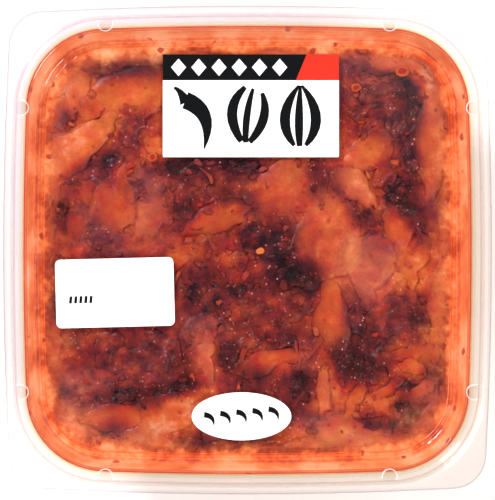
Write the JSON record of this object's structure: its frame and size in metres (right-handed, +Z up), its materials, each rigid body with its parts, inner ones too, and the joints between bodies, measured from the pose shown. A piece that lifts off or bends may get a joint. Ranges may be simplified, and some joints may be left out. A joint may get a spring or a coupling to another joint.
{
  "type": "tub of kimchi",
  "caption": "Square clear plastic deli tub of cut cabbage kimchi, shut with a clear plug-in lid that carries flat labels.",
  "frame": {"origin": "middle of the foot, on the surface the tub stands on", "axes": "+Z up through the lid; +X along the long side of the title label, towards its right end; +Y towards the title label"},
  "size_m": [0.129, 0.129, 0.046],
  "materials": {
    "tub_plastic": "clear, glossy thermoformed plastic",
    "lid_plastic": "clear, glossy thermoformed plastic",
    "kimchi": "wet",
    "label": "smooth paper sticker"
  },
  "bodies": {
    "root": {"tub": "tub_plastic", "lid": "lid_plastic", "kimchi": "kimchi", "title_label": "label", "date_label": "label", "oval_label": "label"}
  },
  "joints": []
}
